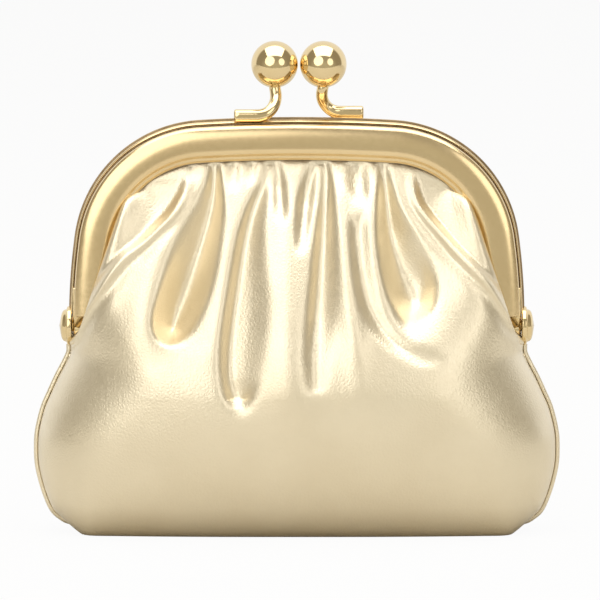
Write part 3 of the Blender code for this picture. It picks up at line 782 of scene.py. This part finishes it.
RIDGES = [
    Ridge([(266, 172), (251, 208), (243, 240), (238, 272), (236, 300)], (0.0003, 0.0004), (0.0003, 0.0002)),
    Ridge([(333, 168), (340, 205), (344, 240), (347, 275), (351, 315), (356, 350), (359, 385)],
          (0.0012, 0.0020), (0.0006, 0.0013)),
    Ridge([(378, 172), (374, 204), (374, 240), (379, 272), (388, 300), (402, 326)], (0.0008, 0.0014),
          (0.0005, 0.0012)),
    Ridge([(290, 178), (292, 210), (290, 250), (289, 300), (289, 350), (294, 400), (302, 440)],
          (0.0014, 0.0048), (0.0003, 0.0012)),
    Ridge([(188, 192), (168, 232), (155, 272), (147, 318), (150, 370)], (0.0022, 0.0056), (0.0005, 0.0024)),
    Ridge([(214, 160), (216, 190), (221, 215), (221, 242)], (0.0003, 0.0005), (-0.0008, -0.0002)),
    Ridge([(274, 152), (262, 184)], (0.0003, 0.0004), (-0.0008, -0.0003)),
    Ridge([(321, 152), (328, 182), (333, 200)], (0.0003, 0.0004), (-0.0008, -0.0002)),
    Ridge([(381, 152), (378, 190), (381, 215)], (0.0003, 0.0004), (-0.0008, -0.0002)),
]

# Overlap beside the frame: the puff's rolled edge lies over the pocket next to the frame
LEFT_OVERLAP = [(190, 140), (187, 168), (184, 190), (172, 212), (156, 228), (140, 243), (122, 257),
                (108, 274), (96, 292), (84, 312), (72, 336)]
RIGHT_OVERLAP = [(409, 140), (412, 170), (417, 198), (428, 216), (442, 232), (458, 250), (472, 264),
                 (487, 280), (500, 298), (514, 322)]
# Share of the line over which the overlap rises, its depth, and where in pixels it is full and ends
OVERLAP_RISE = (0.08, 0.36)
OVERLAP_STEP = 0.0014
POCKET_EDGE = 5
POCKET_END = (40, 60)
# Height in metres, distance behind the line and half width in pixels of the roll and of the hollow behind it
OVERLAP_ROLL = (0.0006, 3.0, 2.6)
OVERLAP_HOLLOW = (0.0004, 11, 5.0)
FOLD_BLUR = (8, 4)
OVERLAP_BLUR = (3, 1)
# Shares of a ridge over which it fades in and out, and how much of it goes at its end
RIDGE_START = 0.15
RIDGE_END = (0.7, 1.0)
RIDGE_LOSS = 0.8
APRON_START = 0.3
# The rear panel's folds are the front's, mirrored about the middle of the picture and moved to one side
MIDDLE_PIXEL = 296.75
REAR_SHIFT = -4
# Rows over which the folds and the overlaps start, and the share of a half's columns from which both fade out
FOLD_ROWS = 6
OVERLAP_ROWS = 16
FOLDS_END = 0.90


def photo_place(points):
    """Pixel (x, y) at which the camera shows each point."""
    sight = np.array([0.0, math.cos(CAMERA_DROP), -math.sin(CAMERA_DROP)])
    upward = np.array([0.0, math.sin(CAMERA_DROP), math.cos(CAMERA_DROP)])
    offset = points - TARGET
    depth = CAMERA_DISTANCE + offset @ sight
    scale = CAMERA_DISTANCE / PIXEL / depth
    return FRAME_PIXELS / 2 + offset[..., 0] * scale, FRAME_PIXELS / 2 - (offset @ upward) * scale


def nearest(x, y, line):
    """Distance from each place to a line, the share of the line there, and the side."""
    best = np.full(x.shape, np.inf)
    share = np.zeros(x.shape)
    side = np.zeros(x.shape)
    shares = path_shares(line)
    for (ax, ay), (bx, by), low, high in zip(line, line[1:], shares, shares[1:]):
        dx, dy = bx - ax, by - ay
        t = np.clip(((x - ax) * dx + (y - ay) * dy) / (dx * dx + dy * dy), 0, 1)
        away_x = x - ax - t * dx
        away_y = y - ay - t * dy
        distance = np.hypot(away_x, away_y)
        closer = distance < best
        best = np.where(closer, distance, best)
        share = np.where(closer, mix(low, high, t), share)
        side = np.where(closer, np.sign(dx * away_y - dy * away_x), side)
    return best, share, side


def inside(x, y, outline):
    hits = np.zeros(x.shape, int)
    for (ax, ay), (bx, by) in zip(outline, np.roll(outline, -1, axis=0)):
        if ay == by:
            continue
        crosses = (ay > y) != (by > y)
        hits += crosses & (x < (bx - ax) * (y - ay) / (by - ay) + ax)
    return hits % 2 == 1


def around(line, margin, x, y):
    """Places in the box round a line."""
    low = line.min(axis=0) - margin
    high = line.max(axis=0) + margin
    return (x > low[0]) & (x < high[0]) & (y > low[1]) & (y < high[1])


def valley_height(valley, x, y):
    outline = smooth_curve(valley.outline + valley.outline[:1])
    near = around(outline, valley.reach / PIXEL, x, y)
    height = np.zeros(x.shape)
    nx, ny = x[near], y[near]
    edge = nearest(nx, ny, outline)[0] * PIXEL
    within = inside(nx, ny, outline[:-1])
    away, along, _ = nearest(nx, ny, smooth_curve(valley.bottom))
    share = edge / (edge + away * PIXEL + TINY)
    hollow = mix(share, share * (2 - share), smoothstep(*valley.rounding, along))
    depth = np.interp(along, np.linspace(0, 1, len(valley.depths)), valley.depths)
    trough = depth * hollow * within
    foot = valley.apron * smoothstep(APRON_START, 1.0, along)
    apron = foot * (1 - np.clip(edge / valley.reach, 0, 1)) ** 2
    height[near] = -trough - np.where(within, foot, apron)
    return height


def ridge_height(ridge, x, y):
    line = smooth_curve(ridge.line)
    near = around(line, 3 * max(ridge.widths) / PIXEL, x, y)
    height = np.zeros(x.shape)
    distance, share, _ = nearest(x[near], y[near], line)
    width = mix(*ridge.widths, share) / PIXEL
    fade = smoothstep(0, RIDGE_START, share) * (1 - smoothstep(*RIDGE_END, share) * RIDGE_LOSS)
    height[near] = mix(*ridge.heights, share) * np.exp(-((distance / width) ** 2)) * fade
    return height


def overlap_height(line, outer_side, x, y):
    """Pocket beside the frame, a rolled edge along the line, and a shallow hollow behind the roll."""
    line = smooth_curve(line)
    distance, share, side = nearest(x, y, line)
    signed = distance * side * outer_side
    rise = smoothstep(*OVERLAP_RISE, share)
    pocket = -OVERLAP_STEP * rise * smoothstep(0, POCKET_EDGE, signed) * (1 - smoothstep(*POCKET_END, signed))

    def swell(height, behind, width):
        return height * rise * np.exp(-(((signed + behind) / width) ** 2))

    return pocket + swell(*OVERLAP_ROLL) - swell(*OVERLAP_HOLLOW)


def blurred(height, columns, rows):
    """Height field with its kinks rounded by repeated averaging with the neighbours."""
    for times in (columns, rows):
        for _ in range(times):
            inner = (height[:-2] + 2 * height[1:-1] + height[2:]) / 4
            height = np.concatenate([height[:1], inner, height[-1:]])
        height = height.T
    return height


def front_folds(x, y):
    height = np.zeros(x.shape)
    for valley in VALLEYS:
        height = np.minimum(height, valley_height(valley, x, y))
    for ridge in RIDGES:
        height += ridge_height(ridge, x, y)
    height = blurred(height, *FOLD_BLUR)
    overlap = overlap_height(LEFT_OVERLAP, 1, x, y) + overlap_height(RIGHT_OVERLAP, -1, x, y)
    return height, blurred(overlap, *OVERLAP_BLUR)


# Pouch


def seam_line():
    """Half of the seam, (x, z), from the middle of the base to just under the hinge."""
    points = [(a * POUCH_HALF_WIDTH, BASE_SEAM_HEIGHT + up * HINGE_HEIGHT) for a, up in SEAM_SHARES]
    return smooth_curve(points, SEAM_STEPS)


def exit_line():
    """Half of the line where the leather leaves the frame, (x, depth, z), and the share in the channel."""
    headings = arch_headings(leg_heading(EXIT_RISE))
    headings = headings[len(headings) // 2 :]
    x, z = arch(headings, -CHANNEL_WIDTH - EXIT_DROP - INSET["front"])
    channel = np.stack([x, np.full_like(x, LEATHER_DEPTH), z], -1)
    edge = smooth_curve(np.vstack([channel[-1:], SIDE_EDGE]), EDGE_STEPS)
    path = np.vstack([channel[:-1], edge])
    return path, path_shares(path)[len(channel) - 1]


def panel_grid():
    """Middle surface of one panel, grid[column, row] of (x, depth, z), and each column's share of a half."""
    exits, channel_share = exit_line()
    seam = seam_line()
    place = np.linspace(-1, 1, COLUMNS + 1)
    side = np.where(place < 0, -1.0, 1.0)
    share = np.abs(place)
    start = at_shares(exits, share)
    finish = at_shares(seam, 1 - (1 - share) ** FAN_SHARE)
    span = np.hypot(finish[:, 0] - start[:, 0], finish[:, 1] - start[:, 2])
    across = mix(start[:, 0], finish[:, 0], BELLY_SHARE) / POUCH_HALF_WIDTH
    power, root = ENVELOPE_POWERS
    envelope = POUCH_HALF_DEPTH * (1 - np.minimum(1, across) ** power) ** root
    belly = mix(start[:, 1], np.maximum(start[:, 1], envelope), smoothstep(0, SIDE_TAPER, span))
    base = 1 - smoothstep(BASE_SEAM_HEIGHT, BASE_SEAM_HEIGHT * BASE_FADE, finish[:, 1])
    base *= 1 - smoothstep(*LOBE_EDGE, finish[:, 0])
    lobe = LOBE_SHARE * BASE_SEAM_HEIGHT * base / span
    normal = channel_normals(exits, np.minimum(share, channel_share))
    edge_normal = channel_normals(exits, share)
    free = smoothstep(channel_share, channel_share + ROLL_FADE, share)
    roll_radius = ROLL_RADIUS * mix(ROLL_START_SHARE, 1.0, free)
    run = np.stack([finish[:, 0] - start[:, 0], finish[:, 1] - start[:, 2]], -1)
    turn_back = smoothstep(*TURN_BACK, (unit(run) * normal).sum(axis=1))
    lag = mix(*FALL_LAG, turn_back)
    rush = mix(*DEPTH_RUSH, turn_back)
    handle = mix(*FALL_HANDLE, turn_back)
    in_channel = 1 - smoothstep(channel_share - TUCK_FADE, channel_share, share)

    columns = []
    # Tuck: up into the channel, or rolled back under itself along the free edge
    for back in np.linspace(1, 0, TUCK_ROWS + 1)[:-1]:
        up = start.copy()
        up[:, [0, 2]] += normal * (TUCK_RISE * back)
        angle = math.pi * back
        roll = start.copy()
        roll[:, [0, 2]] += edge_normal * (roll_radius * math.sin(angle))[:, None]
        roll[:, 1] -= roll_radius * (1 - math.cos(angle))
        columns.append(mix(roll, up, in_channel[:, None]))
    t = np.linspace(0, 1, UPPER_ROWS, endpoint=False)[None, :]
    f_upper = bezier(0.0, (BELLY_SHARE * lag)[:, None], (BELLY_SHARE * handle)[:, None], BELLY_SHARE, t)
    widest = belly[:, None]
    deep_upper = bezier(start[:, 1:2], mix(start[:, 1], belly, rush)[:, None], widest, widest, t)
    t = np.linspace(0, 1, LOWER_ROWS + 1)[None, :]
    f_lower = bezier(BELLY_SHARE, mix(BELLY_SHARE, 1, BELLY_HANDLE), (1 + lobe)[:, None], 1.0, t)
    deep_lower = bezier(widest, widest, widest * UNDER_BELLY, SEAM_GAP, t)
    f = np.concatenate([f_upper, f_lower], axis=1)
    deep = np.concatenate([deep_upper, deep_lower], axis=1)
    x = mix(start[:, 0:1], finish[:, 0:1], f)
    z = mix(start[:, 2:3], finish[:, 1:2], f)
    body = np.stack([x, rolled_over(x, deep, z), z], -1)
    grid = np.concatenate([np.stack(columns, axis=1), body], axis=1)
    grid[..., 0] *= side[:, None]
    return grid, share


def rolled_over(x, deep, z):
    """Depths limited so that the panel turns round to its side seam in one even curve."""
    seam = seam_line()
    flank = np.vstack([seam[seam[:, 1] > FLANK_FOOT[0]][::FLANK_STEP], SEAM_RUN_ON])
    wall = LEATHER / 2 + np.sqrt(2 * EDGE_ROUND * nearest(x, z, flank)[0])
    share = np.clip((wall - deep) / EDGE_BLEND / 2 + 0.5, 0, 1)
    soft = mix(wall, deep, share) - EDGE_BLEND * share * (1 - share) * smoothstep(0, 2 * EDGE_BLEND, wall)
    return mix(deep, soft, smoothstep(*FLANK_FOOT, z))


def channel_normals(exits, share):
    ahead = at_shares(exits, np.minimum(1, share + TANGENT_STEP))
    tangent = ahead - at_shares(exits, np.maximum(0, share - TANGENT_STEP))
    return unit(np.stack([-tangent[:, 2], tangent[:, 0]], -1))


def grid_normals(grid):
    return unit(np.cross(np.gradient(grid, axis=1), np.gradient(grid, axis=0)))


def folded_panel(half):
    """World points of the panel's outer and inner skins."""
    grid, share = panel_grid()
    points = grid * np.array([1.0, -1.0, 1.0])
    normal = grid_normals(points)
    x, y = photo_place(points)
    if half == "rear":
        x = 2 * MIDDLE_PIXEL - x + REAR_SHIFT
    folds, overlap = front_folds(x, y)
    row = np.arange(points.shape[1]) - TUCK_ROWS
    height = folds * smoothstep(-1, FOLD_ROWS, row)[None, :]
    height += overlap * smoothstep(0, OVERLAP_ROWS, row)[None, :]
    height *= (1 - smoothstep(FOLDS_END, 1.0, share))[:, None]
    fields = height, sunk(height)
    middle, lining = (points + field[..., None] * np.array([0.0, -1.0, 0.0]) for field in fields)
    return facing(middle, half), facing(lining, half), facing(normal, half)


def sunk(height):
    """Height field lowered at each place to the lowest one near it."""
    for _ in range(LINING_SPREAD):
        for axis in (0, 1):
            beside = np.minimum(np.roll(height, 1, axis), np.roll(height, -1, axis))
            height = np.minimum(height, beside)
    return blurred(height, LINING_SPREAD, LINING_SPREAD)


def thick_panel(name, middle, normal, thickness, material, floor):
    outer = middle + normal * thickness / 2
    inner = middle - normal * thickness / 2
    outer[..., 2] = np.maximum(outer[..., 2], floor)
    inner[..., 2] = np.maximum(inner[..., 2], floor + thickness)
    rows, columns = middle.shape[:2]
    count = rows * columns
    faces = grid_faces(rows, columns) + grid_faces(rows, columns, offset=count, flip=True)
    sides = [i * columns + j for i in range(rows - 1) for j in (0, columns - 1)]
    ends = [i * columns + j for j in range(columns - 1) for i in (0, rows - 1)]
    for step, edges in ((columns, sides), (1, ends)):
        faces += [[a, a + step, a + step + count, a + count] for a in edges]
    obj = mesh_object(name, np.stack([outer, inner]), faces, material)
    fix_normals(obj)
    return obj


def leather_panel(half, place):
    middle, lining, normal = folded_panel(half)
    obj = thick_panel(f"{place}_leather", middle, normal, LEATHER, LEATHER_LOOK, 0.0)
    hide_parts(f"{place}_panel")
    bend(obj)
    kept = LINING_COLUMNS, LINING_ROWS
    lining = lining[kept]
    depth = np.abs(lining[..., 1])
    eased = np.maximum(depth * (1 - LINING_SHRINK) - LINING_GAP, LEATHER / 2)
    lining[..., 0] *= 1 - LINING_SHRINK
    lining[..., 1] = np.sign(lining[..., 1]) * eased
    cloth = thick_panel(f"{half}_cloth_lining", lining, normal[kept], LINING, LINING_LOOK, LINING_FLOOR)
    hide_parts(f"{place}_lining")
    bend(cloth)


def bend(obj):
    """Bakes the object's placement into its mesh."""
    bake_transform(obj)


def seam_welt():
    """Piping bead round the seam."""
    half = at_shares(seam_line(), np.linspace(0, 1, WELT_RINGS))
    path = np.vstack([half[:0:-1] * np.array([-1.0, 1.0]), half])
    tangent = np.gradient(path, axis=0)
    outward = unit(np.stack([tangent[:, 1], -tangent[:, 0]], -1))
    centre = path + outward * (LEATHER / 2 + WELT_RADIUS * WELT_SEAT_SHARE)
    angles = np.linspace(0, 2 * np.pi, WELT_SIDES, endpoint=False)
    away = WELT_RADIUS * np.cos(angles)
    x = centre[:, :1] + outward[:, :1] * away
    z = centre[:, 1:] + outward[:, 1:] * away
    y = np.broadcast_to(WELT_RADIUS * np.sin(angles), x.shape)
    obj = swept("seam_piping", np.stack([x, y, z], -1), LEATHER_LOOK, sharp=80)
    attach(obj, "bag")
    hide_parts("seam_welt")


# Stage


def white_stage():
    """Pale floor that sweeps up behind, with the purse's shadow on it."""
    made = bpy.data.materials.new("pale_stage")
    made.use_nodes = True
    made.node_tree.nodes.clear()
    tree = Nodes(made.node_tree)
    painted = preset(tree.node("BsdfDiffuse"), {"Color": (*FLOOR_PAINT, 1)})
    white = preset(tree.node("Emission"), {"Color": (*FLOOR_WHITE, 1)})
    path = tree.node("LightPath")
    place = tree.parts(tree.node("NewGeometry").outputs["Position"])
    behind = tree.spread(place["Y"], *MIRRORED_FLOOR)
    mirrored = tree.maths("MULTIPLY", path.outputs["Is Glossy Ray"], behind)
    seen = tree.maths("MAXIMUM", path.outputs["Is Camera Ray"], mirrored)
    blend = tree.node("MixShader")
    tree.link(tree.maths("MULTIPLY", seen, FLOOR_WHITENESS), blend.inputs["Fac"])
    tree.link(painted.outputs["BSDF"], blend.inputs[1])
    tree.link(white.outputs["Emission"], blend.inputs[2])
    tree.link(blend.outputs["Shader"], tree.node("OutputMaterial").inputs["Surface"])

    sweep = BACKDROP_PLACE - BACKDROP_RADIUS
    profile = [(FLOOR_FRONT, 0.0), (0.0, 0.0), (sweep, 0.0)]
    for turn in np.linspace(0, math.pi / 2, BACKDROP_STEPS)[1:]:
        profile.append((sweep + BACKDROP_RADIUS * math.sin(turn), BACKDROP_RADIUS * (1 - math.cos(turn))))
    profile.append((BACKDROP_PLACE, BACKDROP_HEIGHT))
    points = np.array([[(x, y, z) for x in (-FLOOR_HALF_WIDTH, FLOOR_HALF_WIDTH)] for y, z in profile])
    floor = mesh_object("pale_floor", points, grid_faces(len(profile), 2), made)


def softbox(name, azimuth, elevation, size, radiance, shape):
    """Lamp that faces the purse."""
    turn, rise = math.radians(azimuth), math.radians(elevation)
    direction = Vector((math.sin(turn) * math.cos(rise), -math.cos(turn) * math.cos(rise), math.sin(rise)))
    light = bpy.data.lights.new(name, "AREA")
    light.shape = shape
    light.size, light.size_y = size
    area = size[0] * size[1] * (math.pi / 4 if shape == "ELLIPSE" else 1)
    light.energy = radiance * math.pi * area
    obj = placed(name, light)
    obj.location = Vector(LAMP_AIM) + direction * LAMP_DISTANCE
    obj.rotation_euler = (-direction).to_track_quat("-Z", "Y").to_euler()
    obj.visible_camera = False


def lights():
    for lamp in LAMPS:
        softbox(*lamp)
    world = bpy.data.worlds.new("studio")
    world.use_nodes = True
    tree = Nodes(world.node_tree)
    direction = tree.parts(tree.node("TexCoord").outputs["Generated"])
    ramp = tree.node("ValToRGB")
    stops = ramp.color_ramp.elements
    while len(stops) < len(ROOM):
        stops.new(0.5)
    for stop, (place, colour) in zip(stops, ROOM):
        stop.position = place
        stop.color = (*colour, 1)
    tree.link(tree.spread(direction["Z"], -1, 1), ramp.inputs["Fac"])
    room = tree.mixed(tree.spread(direction["Y"], *SIDES_EDGE), ramp.outputs["Color"], SIDES)
    behind = tree.spread(direction["Y"], *BACKDROP_EDGE)
    seen = tree.node("LightPath").outputs["Is Camera Ray"]
    colour = tree.mixed(tree.maths("MAXIMUM", behind, seen), room, SEEN_WHITE)
    tree.link(colour, tree.tree.nodes["Background"].inputs["Color"])
    bpy.context.scene.world = world


def camera():
    data = bpy.data.cameras.new("camera")
    data.sensor_width = SENSOR
    data.lens = SENSOR * (CAMERA_DISTANCE / PIXEL) / FRAME_PIXELS
    obj = placed("camera", data)
    back = np.array([0.0, -math.cos(CAMERA_DROP), math.sin(CAMERA_DROP)])
    obj.location = TARGET + back * CAMERA_DISTANCE
    obj.rotation_euler = (math.pi / 2 - CAMERA_DROP, 0, 0)
    bpy.context.scene.camera = obj


def main():
    camera()
    white_stage()
    lights()
    bpy.context.scene.view_settings.view_transform = "Standard"
    for half in ("front", "rear"):
        frame_shell(half)
        stem(half)
        ball(half)
        for side in (-1, 1):
            lug(half, side, *LUGS[half])
        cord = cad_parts[f"{half}_paper_cord"]
        cord.data.materials.clear()
        cord.data.materials.append(PAPER)
    rivet("left_hinge_rivet", -1)
    rivet("right_hinge_rivet", 1)
    leather_panel("front", "front")
    leather_panel("rear", "back")
    seam_welt()


main()
